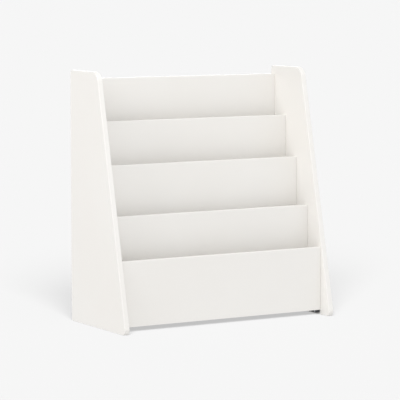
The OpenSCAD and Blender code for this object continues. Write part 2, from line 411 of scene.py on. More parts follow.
def to_object(name: str, shape: bmesh.types.BMesh) -> bpy.types.Object:
    """Turns a bmesh into an object in the scene and frees it.

    Args:
        name: The object's name.
        shape: The bmesh.

    Returns:
        The object, at the origin.
    """
    mesh = bpy.data.meshes.new(name)
    shape.to_mesh(mesh)
    shape.free()
    made = bpy.data.objects.new(name, mesh)
    bpy.context.scene.collection.objects.link(made)
    return made


def skin(shape: bmesh.types.BMesh, rings: Sequence[Sequence[bmesh.types.BMVert]]) -> None:
    """Joins each ring of vertices to the next one, and leaves the ends open.

    Args:
        shape: The bmesh that the vertices are in.
        rings: The rings, with as many vertices each.
    """
    for lower, upper in zip(rings, rings[1:]):
        for k in range(len(lower)):
            after = (k + 1) % len(lower)
            shape.faces.new([lower[k], lower[after], upper[after], upper[k]])


def settle(piece: bpy.types.Object) -> bpy.types.Object:
    """Applies a piece's modifiers to its mesh.

    Args:
        piece: The object.

    Returns:
        The same object, without modifiers.
    """
    evaluated = piece.evaluated_get(bpy.context.evaluated_depsgraph_get())
    mesh = bpy.data.meshes.new_from_object(evaluated)
    old = piece.data
    piece.modifiers.clear()
    piece.data = mesh
    bpy.data.meshes.remove(old)
    mesh.name = piece.name
    return piece


def smooth(piece: bpy.types.Object, sharp_above: float = math.radians(35)) -> bpy.types.Object:
    """Shades rounded edges smooth and keeps flat faces flat.

    Args:
        piece: The object.
        sharp_above: Angle above which an edge stays sharp.

    Returns:
        The same object.
    """
    piece.data.shade_smooth()
    piece.data.set_sharp_from_angle(angle=sharp_above)
    weighted = piece.modifiers.new("weighted", "WEIGHTED_NORMAL")
    weighted.keep_sharp = True
    return settle(piece)


def islands(node: str) -> list[Corners]:
    """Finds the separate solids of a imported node.

    Args:
        node: The node's name.

    Returns:
        Each solid's lowest and highest corner, sorted by place.
    """
    shape = bmesh.new()
    shape.from_mesh(frame["nodes"][node].data)
    bmesh.ops.remove_doubles(shape, verts=shape.verts, dist=MERGE)
    waiting = set(shape.verts)
    found = []
    while waiting:
        group = []
        front = [waiting.pop()]
        while front:
            vert = front.pop()
            group.append(vert.co.copy())
            near = [edge.other_vert(vert) for edge in vert.link_edges]
            fresh = [other for other in near if other in waiting]
            waiting.difference_update(fresh)
            front.extend(fresh)
        low = Vector(min(p[k] for p in group) for k in range(3))
        high = Vector(max(p[k] for p in group) for k in range(3))
        found.append((low, high))
    shape.free()
    return sorted(found, key=lambda box: tuple(round(c, SORT_DIGITS) for c in (box[0] + box[1])))


class Host(Enum):
    """The kinds of piece that a hole can go into."""

    PANEL = "side panel"
    UPRIGHT = "upright"
    FLOOR = "floor"
    BLOCK = "block"


@dataclass(frozen=True)
class Bore:
    """A turned hole: steps of (distance along its axis, radius) from a point."""

    start: Vector
    axis: Vector
    steps: Steps
    hosts: frozenset[Host]
    sides: int = 32

    def add_to(self, shape: bmesh.types.BMesh) -> None:
        """Adds the hole's closed cutter to a bmesh.

        Args:
            shape: The bmesh that collects cutters.
        """
        turn = self.axis.to_track_quat("Z", "Y").to_matrix().to_4x4()
        place = Matrix.Translation(self.start) @ turn
        rings = []
        for along, radius in self.steps:
            angles = [2 * math.pi * k / self.sides for k in range(self.sides)]
            points = [Vector((radius * math.cos(a), radius * math.sin(a), along)) for a in angles]
            rings.append([shape.verts.new(place @ p) for p in points])
        skin(shape, rings)
        shape.faces.new(list(reversed(rings[0])))
        shape.faces.new(rings[-1])

    def runs_along(self, way: Vector) -> bool:
        """Tells whether the hole's axis lies along an axis of the case, either way."""
        return abs(self.axis.dot(way)) > 1 - MERGE

    def enters(self, host: Host, box: Corners) -> bool:
        """Tells whether the hole goes into a piece.

        Args:
            host: The piece's kind.
            box: The piece's lowest and highest corner.

        Returns:
            True if it does.
        """
        low, high = box
        first, last = (self.start + self.axis * along for along in (self.steps[0][0], self.steps[-1][0]))
        spans = [min(first[k], last[k]) < high[k] and max(first[k], last[k]) > low[k] for k in range(3)]
        return all(spans) and host in self.hosts


def drill(piece: bpy.types.Object, bores: Sequence[Bore]) -> bpy.types.Object:
    """Cuts holes into a piece, one axis at a time, because holes along one axis never meet.

    Args:
        piece: The object, a closed mesh.
        bores: The holes.

    Returns:
        The same object.
    """
    for way in (X_WAY, Y_WAY, Z_WAY):
        batch = [bore for bore in bores if bore.runs_along(way)]
        if not batch:
            continue
        cutters = bmesh.new()
        for bore in batch:
            bore.add_to(cutters)
        tool = to_object("drill", cutters)
        cut = piece.modifiers.new("drill", "BOOLEAN")
        cut.operation = "DIFFERENCE"
        cut.solver = "MANIFOLD"
        cut.object = tool
        settle(piece)
        bpy.data.meshes.remove(tool.data)
    return piece


def dress(piece: bpy.types.Object, finish: Finish, node: str) -> bpy.types.Object:
    """Gives a piece its finish and ties it to the frame.

    Args:
        piece: The finished object.
        finish: Its finish.
        node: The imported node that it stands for.

    Returns:
        The same object.
    """
    piece.data.materials.clear()
    piece.data.materials.append(finish.material())
    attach(piece, BODY)
    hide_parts(node)
    log.info("%s: %d faces, stands for %s", piece.name, len(piece.data.polygons), node)
    return piece


# ---------- Fittings ----------


@dataclass(frozen=True)
class Spot:
    """Where one fitting sits: a point, the way that it faces and the way across it."""

    point: Vector
    out: Vector
    along: Vector

    def turn(self) -> Vector:
        """Returns the rotation that takes +Z to out and +X to along, as Euler angles."""
        across = self.out.cross(self.along)
        return Vector(Matrix((self.along, across, self.out)).transposed().to_euler())


def hand_at(point: Vector) -> float:
    """Returns 1 for a point on the right of the case and -1 on the left."""
    return math.copysign(1.0, point.x)


class Length:
    """A size in a geometry tree. Working with it adds Math nodes."""

    def __init__(self, graph: Graph, value: Any) -> None:
        """Holds a socket or a number."""
        self.graph = graph
        self.value = value

    def combine(self, operation: str, first: Any, second: Any) -> "Length":
        """Returns the result of one Math node."""
        values = [plain(v) for v in (first, second)]
        return Length(self.graph, self.graph.math(operation, *values))

    def __add__(self, other: Any) -> "Length":
        """Returns the sum."""
        return self.combine("ADD", self, other)

    def __sub__(self, other: Any) -> "Length":
        """Returns the difference."""
        return self.combine("SUBTRACT", self, other)

    def __rsub__(self, other: Any) -> "Length":
        """Returns the difference from a number."""
        return self.combine("SUBTRACT", other, self)

    def __mul__(self, other: Any) -> "Length":
        """Returns the product."""
        return self.combine("MULTIPLY", self, other)

    def __truediv__(self, other: Any) -> "Length":
        """Returns the quotient."""
        return self.combine("DIVIDE", self, other)

    def __neg__(self) -> "Length":
        """Returns the size with its sign changed."""
        return self * -1.0


def plain(value: Any) -> Any:
    """Returns the socket or number inside a length, or the value itself."""
    return value.value if isinstance(value, Length) else value


Sizes = dict[str, Length]


class Lathe:
    """Makes the shapes that fittings are put together from, each along +Z."""

    def __init__(self, graph: Graph) -> None:
        """Works in one geometry tree."""
        self.graph = graph

    def choose(self, values: Sequence[Any]) -> Socket:
        """Picks a value for each point by its number.

        Args:
            values: Numbers or lengths, one for each point.

        Returns:
            The picked value's socket.
        """
        node = self.graph.add("GeometryNodeIndexSwitch", data_type="FLOAT")
        for _ in range(len(values) - len(node.index_switch_items)):
            node.index_switch_items.new()
        self.graph.tree.links.new(self.graph.add("GeometryNodeInputIndex").outputs[0], node.inputs[0])
        for number, value in enumerate(values, start=1):
            if isinstance(plain(value), Socket):
                self.graph.tree.links.new(plain(value), node.inputs[number])
            else:
                node.inputs[number].default_value = plain(value)
        return node.outputs[0]

    def circle(self, sides: int, radius: float) -> Socket:
        """Draws a regular section."""
        inputs = {"Resolution": sides, "Radius": radius}
        return self.graph.add("GeometryNodeCurvePrimitiveCircle", inputs).outputs[0]

    def turned(
        self, steps: Sequence[tuple[Any, Any]], sides: int = 32, profile: Optional[Socket] = None
    ) -> Socket:
        """Turns a solid from steps of (height, radius).

        Args:
            steps: The steps, from the lowest up.
            sides: Number of sides of a round section.
            profile: Another section of radius 1, in place of the round one.

        Returns:
            The mesh's socket.
        """
        heights = self.choose([height for height, _ in steps])
        radii = self.choose([radius for _, radius in steps])
        place = self.graph.add("ShaderNodeCombineXYZ", {"Z": heights}).outputs[0]
        points = self.graph.add("GeometryNodePoints", {"Count": len(steps), "Position": place}).outputs[0]
        line = self.graph.add("GeometryNodePointsToCurves", {"Points": points}).outputs[0]
        if profile is None:
            profile = self.circle(sides, 1.0)
        inputs = {"Curve": line, "Profile Curve": profile, "Scale": radii, "Fill Caps": True}
        return self.graph.add("GeometryNodeCurveToMesh", inputs).outputs[0]

    def thread(self, start: Any, length: Length, radius: Length, ridge: float, turns: float) -> Socket:
        """Winds a screw's ridge, three-sided in section.

        Args:
            start: Height of its first turn.
            length: Height that it climbs.
            radius: Radius to the ridge's middle.
            ridge: Radius of the ridge's section.
            turns: Number of turns.

        Returns:
            The mesh's socket.
        """
        path = self.graph.add("GeometryNodeCurveSpiral", {
            "Resolution": SPIRAL_POINTS, "Rotations": turns, "Start Radius": radius.value,
            "End Radius": radius.value, "Height": length.value,
        }).outputs[0]
        inputs = {"Curve": path, "Profile Curve": self.circle(3, ridge), "Fill Caps": True}
        return self.lift(self.graph.add("GeometryNodeCurveToMesh", inputs).outputs[0], start)

    def lift(self, mesh: Socket, height: Any) -> Socket:
        """Moves a mesh up by a height."""
        up = self.graph.add("ShaderNodeCombineXYZ", {"Z": plain(height)}).outputs[0]
        return self.graph.add("GeometryNodeTransform", {"Geometry": mesh, "Translation": up}).outputs[0]

    def cross(self, length: float, width: float, low: float, high: float) -> Socket:
        """Makes two crossed bars.

        Args:
            length: From one arm's end to the other's.
            width: Width of an arm.
            low: Height of the bars' undersides.
            high: Height of the bars' tops.

        Returns:
            The mesh's socket.
        """
        bars = []
        for size in ((length, width, high - low), (width, length, high - low)):
            bars.append(self.graph.add("GeometryNodeMeshCube", {"Size": size}).outputs[0])
        return self.lift(self.combined("UNION", bars), (low + high) / 2)

    def combined(self, operation: str, meshes: Sequence[Socket]) -> Socket:
        """Joins meshes into one solid, or cuts the others out of the first.

        Args:
            operation: UNION or DIFFERENCE.
            meshes: The meshes' sockets.

        Returns:
            The solid's socket.
        """
        node = self.graph.add("GeometryNodeMeshBoolean", operation=operation, solver="MANIFOLD")
        rest = meshes
        if operation == "DIFFERENCE":
            self.graph.tree.links.new(meshes[0], node.inputs["Mesh 1"])
            rest = meshes[1:]
        for mesh in rest:
            self.graph.tree.links.new(mesh, node.inputs["Mesh 2"])
        return node.outputs[0]


@dataclass
class Fittings(ABC):
    """A set of identical fittings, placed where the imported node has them."""

    clearance: float = 0.0001
    end_play: float = 0.0005
    overrun: float = 0.001
    step: float = 0.00001

    node: str = ""
    piece_name: str = ""
    slot: Slot = Slot.STEEL
    finish: Finish = PLATED

    @abstractmethod
    def spot(self, low: Vector, high: Vector) -> Spot:
        """Returns where the fitting between two corners sits."""

    @abstractmethod
    def sizes(self) -> dict[str, float]:
        """Names the sizes that the shape is worked out from, in metres."""

    @abstractmethod
    def shape(self, lathe: Lathe, size: Sizes) -> Socket:
        """Makes one fitting, facing +Z."""

    def bores(self) -> list[Bore]:
        """Lists the holes that the fittings sit in."""
        return []

    def spots(self) -> list[Spot]:
        """Lists where the fittings sit."""
        return [self.spot(low, high) for low, high in islands(self.node)]

    def extent(self) -> Vector:
        """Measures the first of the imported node's solids."""
        low, high = islands(self.node)[0]
        return high - low

    def drilled(self, steps: Steps, *hosts: Host, inwards: bool = True) -> list[Bore]:
        """Lists one hole for each fitting.

        Args:
            steps: The hole's steps, as (distance, radius) from the fitting's point.
            *hosts: The kinds of piece that it goes into.
            inwards: True if distances run against the way that the fitting faces.

        Returns:
            The holes.
        """
        way = -1.0 if inwards else 1.0
        return [Bore(s.point, s.out * way, steps, frozenset(hosts)) for s in self.spots()]

    def tree(self) -> tuple[bpy.types.NodeTree, dict[str, str]]:
        """Builds the geometry tree.

        Returns:
            The tree, and the identifier of each named size's socket.
        """
        tree = bpy.data.node_groups.new(self.piece_name, "GeometryNodeTree")
        sides = tree.interface
        sides.new_socket("Spots", in_out="INPUT", socket_type="NodeSocketGeometry")
        names = {
            name: sides.new_socket(name, in_out="INPUT", socket_type="NodeSocketFloat").identifier
            for name in self.sizes()
        }
        sides.new_socket("Fittings", in_out="OUTPUT", socket_type="NodeSocketGeometry")
        graph = Graph(tree)
        entry = graph.add("NodeGroupInput")
        shape = self.shape(Lathe(graph), {name: Length(graph, entry.outputs[name]) for name in names})
        own = graph.add("GeometryNodeInputPosition").outputs[0]
        inputs = {"Geometry": shape, "Name": "along_grain", "Value": own}
        vector = {"data_type": "FLOAT_VECTOR", "domain": "POINT"}
        kept = graph.add("GeometryNodeStoreNamedAttribute", inputs, **vector)
        turn = graph.add("GeometryNodeInputNamedAttribute", {"Name": "turn"}, data_type="FLOAT_VECTOR")
        rotation = graph.add("FunctionNodeEulerToRotation", {0: turn.outputs[0]}).outputs[0]
        inputs = {"Points": entry.outputs["Spots"], "Instance": kept.outputs[0], "Rotation": rotation}
        placed = graph.add("GeometryNodeInstanceOnPoints", inputs).outputs[0]
        real = graph.add("GeometryNodeRealizeInstances", {"Geometry": placed}).outputs[0]
        inputs = {"Geometry": real, "Material": self.finish.material()}
        dressed = graph.add("GeometryNodeSetMaterial", inputs).outputs[0]
        graph.add("NodeGroupOutput", {"Fittings": dressed})
        return tree, names

    def build(self) -> bpy.types.Object:
        """Builds every fitting of the set as one piece.

        Returns:
            The piece.
        """
        spots = self.spots()
        points = bpy.data.meshes.new(self.piece_name)
        points.from_pydata([spot.point for spot in spots], [], [])
        turns = points.attributes.new("turn", "FLOAT_VECTOR", "POINT")
        for item, spot in zip(turns.data, spots):
            item.vector = spot.turn()
        piece = bpy.data.objects.new(self.piece_name, points)
        bpy.context.scene.collection.objects.link(piece)
        tree, names = self.tree()
        maker = piece.modifiers.new("fittings", "NODES")
        maker.node_group = tree
        for name, value in self.sizes().items():
            maker[names[name]] = value
        return dress(smooth(settle(piece)), self.finish, self.node)


@dataclass
class Dowels(Fittings):
    """Fluted beech dowels."""

    node: str = "dowels"
    piece_name: str = "fluted_dowels"
    slot: Slot = Slot.BEECH
    finish: Finish = BEECH
    flutes: int = 18
    flute_depth: float = 0.06
    chamfer: float = 0.0008

    def spot(self, low: Vector, high: Vector) -> Spot:
        """Finds a dowel's middle.

        Args:
            low: The dowel's lowest corner.
            high: Its highest corner.

        Returns:
            The spot, facing along the dowel.
        """
        size = high - low
        out, along = (X_WAY, Y_WAY) if size.x > size.y else (Y_WAY, Z_WAY)
        return Spot((low + high) / 2, out, along)

    def sizes(self) -> dict[str, float]:
        """Returns the dowel's length and radius, and its chamfer."""
        size = sorted(self.extent())
        return {"Length": size[2], "Radius": size[0] / 2, "Chamfer": self.chamfer}

    def shape(self, lathe: Lathe, size: Sizes) -> Socket:
        """Makes one dowel round its middle.

        Args:
            lathe: What turns it.
            size: Its sizes.

        Returns:
            The mesh's socket.
        """
        half, radius, chamfer = size["Length"] / 2, size["Radius"], size["Chamfer"]
        flute = {"Points": self.flutes, "Inner Radius": 1 - self.flute_depth, "Outer Radius": 1.0}
        section = lathe.graph.add("GeometryNodeCurveStar", flute).outputs[0]
        steps = [
            (-half, radius - chamfer), (chamfer - half, radius),
            (half - chamfer, radius), (half, radius - chamfer),
        ]
        return lathe.turned(steps, profile=section)

    def bores(self) -> list[Bore]:
        """Lists the blind holes round the dowels, which run through both pieces of each joint.

        Returns:
            The holes.
        """
        sizes = self.sizes()
        reach = sizes["Length"] / 2 + self.end_play
        radius = sizes["Radius"] + self.clearance
        steps = ((-reach, radius), (reach, radius))
        return self.drilled(steps, Host.PANEL, Host.UPRIGHT, Host.FLOOR, inwards=False)


@dataclass
class CamBolts(Fittings):
    """Bolts screwed into the side panels, with ball heads for the cams."""

    node: str = "cam_bolts"
    piece_name: str = "ball_head_bolts"
    ball: float = 0.0035
    ball_steps: int = 6
    ball_pole: float = 0.04
    neck: float = 0.0018
    shaft: float = 0.0025
    shaft_end: float = 0.0155
    collar: float = 0.0036
    collar_thick: float = 0.0015
    thread_root: float = 0.0019
    ridge: float = 0.00055
    turns: float = 6.0
    tip: float = 0.0012
    hole: float = 0.004

    def joint(self) -> float:
        """Returns how far from the middle of the case the boards end."""
        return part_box("back_panel")[1].x

    def spot(self, low: Vector, high: Vector) -> Spot:
        """Finds the point where a bolt crosses from its board into the side panel.

        Args:
            low: The bolt's lowest corner.
            high: Its highest corner.

        Returns:
            The spot, facing the side panel.
        """
        middle = (low + high) / 2
        hand = hand_at(middle)
        return Spot(Vector((hand * self.joint(), middle.y, middle.z)), Vector((hand, 0, 0)), Z_WAY)

    def sizes(self) -> dict[str, float]:
        """Returns the bolt's reach into the board, its bite in the side panel and its radii.

        Returns:
            The sizes by name.
        """
        low, high = islands(self.node)[-1]
        return {
            "Bite": high.x - self.joint(),
            "Reach": self.joint() - low.x - self.ball,
            "Ball Radius": self.ball,
            "Shaft Radius": self.shaft,
        }

    def shape(self, lathe: Lathe, size: Sizes) -> Socket:
        """Makes one bolt, with the board's end at height 0.

        Args:
            lathe: What turns it.
            size: Its sizes.

        Returns:
            The mesh's socket.
        """
        bite, reach, ball, shaft = (size[n] for n in ("Bite", "Reach", "Ball Radius", "Shaft Radius"))
        last = math.asin(self.neck / self.ball)
        angles = [math.pi - (math.pi - last) * k / self.ball_steps for k in range(self.ball_steps + 1)]
        steps = [(ball * math.cos(a) - reach, ball * max(math.sin(a), self.ball_pole)) for a in angles]
        steps += [
            (-self.shaft_end, self.neck), (-self.shaft_end + self.step, shaft),
            (-self.collar_thick, shaft), (-self.collar_thick + self.step, self.collar),
            (-self.step, self.collar), (0.0, self.thread_root),
            (bite - 2 * self.ridge, self.thread_root), (bite, self.tip),
        ]
        core = lathe.turned(steps, sides=24)
        crest = shaft - self.ridge
        ridge = lathe.thread(2 * self.ridge, bite - 5 * self.ridge, crest, self.ridge, self.turns)
        return lathe.combined("UNION", [core, ridge])

    def bores(self) -> list[Bore]:
        """Lists the wide holes in the boards' ends and the narrow ones in the side panels.

        Returns:
            The holes.
        """
        sizes = self.sizes()
        narrow = self.shaft + self.clearance
        wide = ((-sizes["Reach"], self.hole), (self.overrun, self.hole))
        tight = ((-self.overrun, narrow), (sizes["Bite"] + self.end_play, narrow))
        ends = self.drilled(wide, Host.UPRIGHT, inwards=False)
        return ends + self.drilled(tight, Host.PANEL, inwards=False)


@dataclass
class CamLocks(Fittings):
    """Cast cams that grip the bolts' ball heads."""

    node: str = "cam_locks"
    piece_name: str = "cast_cams"
    slot: Slot = Slot.CASTING
    finish: Finish = CAST
    chamfer: float = 0.0004
    cavity: float = 0.0038
    cavity_length: float = 1.5
    cavity_shift: float = 0.55
    ball_depth: float = 0.0075
    drive_length: float = 0.0066
    drive_width: float = 0.0014
    drive_depth: float = 0.002

    def spot(self, low: Vector, high: Vector) -> Spot:
        """Returns a cam's outer face, with +X towards the end of its board."""
        middle = (low + high) / 2
        return Spot(Vector((middle.x, high.y, middle.z)), Y_WAY, Vector((hand_at(middle), 0, 0)))

    def sizes(self) -> dict[str, float]:
        """Returns the cam's radius and depth."""
        size = self.extent()
        return {"Radius": size.x / 2, "Depth": size.y, "Chamfer": self.chamfer}

    def shape(self, lathe: Lathe, size: Sizes) -> Socket:
        """Makes one cam, with its outer face at height 0 and a throat for the ball head.

        Args:
            lathe: What turns it.
            size: Its sizes.

        Returns:
            The mesh's socket.
        """
        radius, depth, chamfer = size["Radius"], size["Depth"], size["Chamfer"]
        body = lathe.turned([
            (-depth, radius - chamfer), (chamfer - depth, radius),
            (-chamfer, radius), (-self.step, radius - chamfer),
        ])
        bar = {"Vertices": 24, "Radius": self.cavity, "Depth": (radius * self.cavity_length).value}
        throat = lathe.graph.add("GeometryNodeMeshCylinder", bar).outputs[0]
        shift = {"X": (radius * self.cavity_shift).value, "Z": -self.ball_depth}
        place = lathe.graph.add("ShaderNodeCombineXYZ", shift).outputs[0]
        lying = {"Geometry": throat, "Translation": place, "Rotation": (0.0, math.pi / 2, 0.0)}
        cavity = lathe.graph.add("GeometryNodeTransform", lying).outputs[0]
        drive = lathe.cross(self.drive_length, self.drive_width, -self.drive_depth, self.overrun)
        return lathe.combined("DIFFERENCE", [body, cavity, drive])

    def bores(self) -> list[Bore]:
        """Lists the round pockets that the cams sit in.

        Returns:
            The holes.
        """
        sizes = self.sizes()
        radius = sizes["Radius"] + self.clearance
        steps = ((-self.overrun, radius), (sizes["Depth"] + self.clearance, radius))
        return self.drilled(steps, Host.UPRIGHT)


@dataclass
class CamCaps(Fittings):
    """Thin white caps that hide the cams."""

    node: str = "cam_caps"
    piece_name: str = "white_cam_caps"
    slot: Slot = Slot.CAP
    finish: Finish = CAP_PLASTIC
    peg_length: float = 0.0016
    peg_span: float = 0.0064
    peg_width: float = 0.0012
    rim: float = 0.00045
    rim_rounding: float = 0.3
    rim_sink: float = 0.4
    dimple: float = 0.0011
    dimple_floor: float = 0.6

    def spot(self, low: Vector, high: Vector) -> Spot:
        """Returns the point on the board's rear face under a cap."""
        middle = (low + high) / 2
        return Spot(Vector((middle.x, low.y + self.peg_length, middle.z)), Y_WAY, X_WAY)

    def sizes(self) -> dict[str, float]:
        """Returns the cap's radius and thickness."""
        size = self.extent()
        return {"Radius": size.x / 2, "Thickness": size.y - self.peg_length, "Rim": self.rim}

    def shape(self, lathe: Lathe, size: Sizes) -> Socket:
        """Makes one cap, with the board's face at height 0.

        Args:
            lathe: What turns it.
            size: Its sizes.

        Returns:
            The mesh's socket.
        """
        radius, thick, rim = size["Radius"], size["Thickness"], size["Rim"]
        rounding, sink = rim * self.rim_rounding, rim * self.rim_sink
        disc = lathe.turned([
            (0.0, radius - rounding), (sink, radius), (thick - rim, radius),
            (thick - rounding, radius - rounding), (thick, radius - rim),
            (thick - self.step, self.dimple), (thick - sink, self.dimple * self.dimple_floor),
        ], sides=48)
        peg = lathe.cross(self.peg_span, self.peg_width, -self.peg_length, self.step)
        return lathe.combined("UNION", [disc, peg])


@dataclass
class FloorScrews(Fittings):
    """Countersunk screws with hexagon sockets, from an upright into the floor in front of it."""

    node: str = "floor_screws"
    piece_name: str = "socket_screws"
    head: float = 0.005
    head_thick: float = 0.003
    shank: float = 0.0035
    shank_end: float = 0.015
    root: float = 0.0018
    crest: float = 0.0025
    ridge: float = 0.0008
    turns: float = 9.0
    point: float = 0.4
    socket: float = 0.0023
    socket_depth: float = 0.0025
    edge: float = 0.0002

    def spot(self, low: Vector, high: Vector) -> Spot:
        """Returns the middle of a screw's head."""
        middle = (low + high) / 2
        return Spot(Vector((middle.x, high.y, middle.z)), Y_WAY, Z_WAY)

    def sizes(self) -> dict[str, float]:
        """Returns the screw's length and radii."""
        return {"Length": self.extent().y, "Head Radius": self.head, "Shank Radius": self.shank}

    def shape(self, lathe: Lathe, size: Sizes) -> Socket:
        """Makes one screw, with its head's face at height 0.

        Args:
            lathe: What turns it.
            size: Its sizes.

        Returns:
            The mesh's socket.
        """
        length, head, shank = size["Length"], size["Head Radius"], size["Shank Radius"]
        core = lathe.turned([
            (-length, self.root * self.point), (2 * self.ridge - length, self.root),
            (-self.shank_end - self.ridge, self.root), (-self.shank_end, shank),
            (-self.head_thick, shank), (-self.edge, head), (0.0, head - self.edge),
        ])
        start = -length + 3 * self.ridge
        climb = length - self.shank_end - 4 * self.ridge
        crest = Length(lathe.graph, self.crest - self.ridge)
        ridge = lathe.thread(start, climb, crest, self.ridge, self.turns)
        key = lathe.turned([(-self.socket_depth, self.socket), (self.overrun, self.socket)], sides=6)
        return lathe.combined("DIFFERENCE", [lathe.combined("UNION", [core, ridge]), key])

    def bores(self) -> list[Bore]:
        """Lists the countersunk holes through the uprights and the pilot holes in the floors.

        Returns:
            The holes.
        """
        head, shank, pilot = (radius + self.clearance for radius in (self.head, self.shank, self.crest))
        through = (
            (-self.overrun, head), (0.0, head), (self.head_thick, shank),
            (self.shank_end + self.overrun, shank),
        )
        deep = ((self.shank_end - self.overrun, pilot), (self.sizes()["Length"] + self.end_play, pilot))
        return self.drilled(through, Host.UPRIGHT) + self.drilled(deep, Host.FLOOR)


@dataclass
class BlockScrews(Fittings):
    """Small cross-head screws that hold the dark blocks, which stand for shade under the lowest board, to
    the side panels.
    """

    node: str = "block_screws"
    piece_name: str = "cross_head_screws"
    head: float = 0.0033
    head_thick: float = 0.0024
    shank: float = 0.00175
    root: float = 0.0013
    ridge: float = 0.0005
    turns: float = 12.0
    point: float = 0.4
    slot_span: float = 0.0035
    slot_width: float = 0.001
    slot_depth: float = 0.001
    edge: float = 0.00015

    def spot(self, low: Vector, high: Vector) -> Spot:
        """Finds the middle of a screw's head.

        Args:
            low: The screw's lowest corner.
            high: Its highest corner.

        Returns:
            The spot, facing the middle of the case.
        """
        middle = (low + high) / 2
        hand = hand_at(middle)
        inner = low.x if hand > 0 else high.x
        return Spot(Vector((inner, middle.y, middle.z)), Vector((-hand, 0, 0)), Y_WAY)

    def sizes(self) -> dict[str, float]:
        """Returns the screw's length and radii."""
        return {"Length": self.extent().x, "Head Radius": self.head, "Shank Radius": self.shank}

    def shape(self, lathe: Lathe, size: Sizes) -> Socket:
        """Makes one screw, with its head's face at height 0.

        Args:
            lathe: What turns it.
            size: Its sizes.

        Returns:
            The mesh's socket.
        """
        length, head, shank = size["Length"], size["Head Radius"], size["Shank Radius"]
        core = lathe.turned([
            (-length, self.root * self.point), (2 * self.ridge - length, self.root),
            (-2 * self.head_thick, self.root), (-self.head_thick - 2 * self.ridge, shank),
            (-self.head_thick, shank), (-self.edge, head), (0.0, head - self.edge),
        ], sides=24)
        start = -length + 3 * self.ridge
        climb = length - 3 * self.head_thick - 3 * self.ridge
        ridge = lathe.thread(start, climb, shank - self.ridge, self.ridge, self.turns)
        slots = lathe.cross(self.slot_span, self.slot_width, -self.slot_depth, self.overrun)
        return lathe.combined("DIFFERENCE", [lathe.combined("UNION", [core, ridge]), slots])

    def bores(self) -> list[Bore]:
        """Lists the countersunk holes through the blocks and the pilot holes in the side panels.

        Returns:
            The holes.
        """
        head, shank = self.head + self.clearance, self.shank + self.clearance
        reach = self.sizes()["Length"] + self.end_play
        steps = ((-self.overrun, head), (0.0, head), (self.head_thick, shank), (reach, shank))
        return self.drilled(steps, Host.PANEL, Host.BLOCK)


@dataclass(frozen=True)
class WallFixing:
    """The two pilot holes for a wall strap, as the record states them in millimetres."""

    mount: str = "wall_strap_holes"
    depth: float = 0.010
    overrun: float = 0.001

    def bores(self) -> list[Bore]:
        """Lists the two holes.

        Returns:
            The holes.
        """
        stated = next(m for m in frame["record"]["mounts"] if m["name"] == self.mount)
        point, out = Vector(stated["pos_m"]), Vector(stated["axis"])
        radius = stated["dims"]["hole_r_mm"] / 1000
        half = X_WAY * (stated["dims"]["spacing_x_mm"] / 1000 / 2)
        steps = ((-self.overrun, radius), (self.depth, radius))
        return [Bore(point + side, -out, steps, frozenset({Host.UPRIGHT})) for side in (-half, half)]


# ---------- Boards ----------


def round_edges(
    shape: bmesh.types.BMesh, edges: list[bmesh.types.BMEdge], radius: float, segments: int
) -> None:
    """Rounds edges.

    Args:
        shape: The bmesh.
        edges: Its edges to round.
        radius: Their radius.
        segments: Number of steps round each edge.
    """
    bmesh.ops.bevel(
        shape, geom=edges, offset=radius, offset_type="OFFSET", segments=segments,
        profile=ROUND_PROFILE, affect="EDGES", clamp_overlap=True,
    )


@dataclass
class Piece(ABC):
    """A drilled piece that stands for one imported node."""

    node: str
    piece_name: str
    host: Host = Host.UPRIGHT
    slot: Slot = Slot.LACQUER
    finish: Finish = LACQUER

    @abstractmethod
    def solid(self, low: Vector, high: Vector) -> bmesh.types.BMesh:
        """Makes the piece between two corners, before it is drilled."""

    def build(self, bores: Sequence[Bore]) -> bpy.types.Object:
        """Builds the piece and drills it.

        Args:
            bores: Every hole of the case; the piece takes its own.

        Returns:
            The piece in its finish.
        """
        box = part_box(self.node)
        solid = self.solid(*box)
        bmesh.ops.recalc_face_normals(solid, faces=solid.faces)
        piece = to_object(self.piece_name, solid)
        drill(piece, [bore for bore in bores if bore.enters(self.host, box)])
        return dress(smooth(piece), self.finish, self.node)


@dataclass
class Board(Piece):
    """A straight board with eased edges."""

    ease: float = 0.0013
    end_ease: float = 0.0011
    segments: int = 4
    end_segments: int = 3
    ring: float = 0.0025

    def solid(self, low: Vector, high: Vector) -> bmesh.types.BMesh:
        """Makes the board and eases its edges.

        Args:
            low: Its lowest corner.
            high: Its highest corner.

        Returns:
            The bmesh.
        """
        shape = bmesh.new()
        bmesh.ops.create_cube(shape, size=1.0)
        middle, size = (low + high) / 2, high - low
        for vert in shape.verts:
            vert.co = middle + Vector(vert.co[k] * size[k] for k in range(3))
        round_edges(shape, [e for e in shape.edges if self.runs_across(e)], self.ease, self.segments)
        ends = [e for e in shape.edges if self.is_end(e, low.x, high.x)]
        round_edges(shape, ends, self.end_ease, self.end_segments)
        self.mark_arrises(shape)
        return shape

    def mark_arrises(self, shape: bmesh.types.BMesh) -> None:
        """Adds a narrow ring inside each broad face, and the attribute arris, which fades across it.

        Args:
            shape: The board with its edges rounded.
        """
        narrowest = 3 * self.ring
        broad = [f for f in shape.faces if min(e.calc_length() for e in f.edges) > narrowest]
        bmesh.ops.inset_individual(shape, faces=broad, thickness=self.ring, use_even_offset=True)
        layer = shape.verts.layers.float.new("arris")
        flat = {vert for face in broad for vert in face.verts}
        for vert in shape.verts:
            vert[layer] = 0.0 if vert in flat else 1.0

    @staticmethod
    def runs_across(edge: bmesh.types.BMEdge) -> bool:
        """Tells whether an edge runs from one end of the board to the other."""
        first, second = edge.verts
        return abs(first.co.x - second.co.x) > MERGE

    @staticmethod
    def is_end(edge: bmesh.types.BMEdge, left: float, right: float) -> bool:
        """Tells whether an edge goes round one of the board's ends."""
        return any(all(abs(v.co.x - x) < MERGE for v in edge.verts) for x in (left, right))


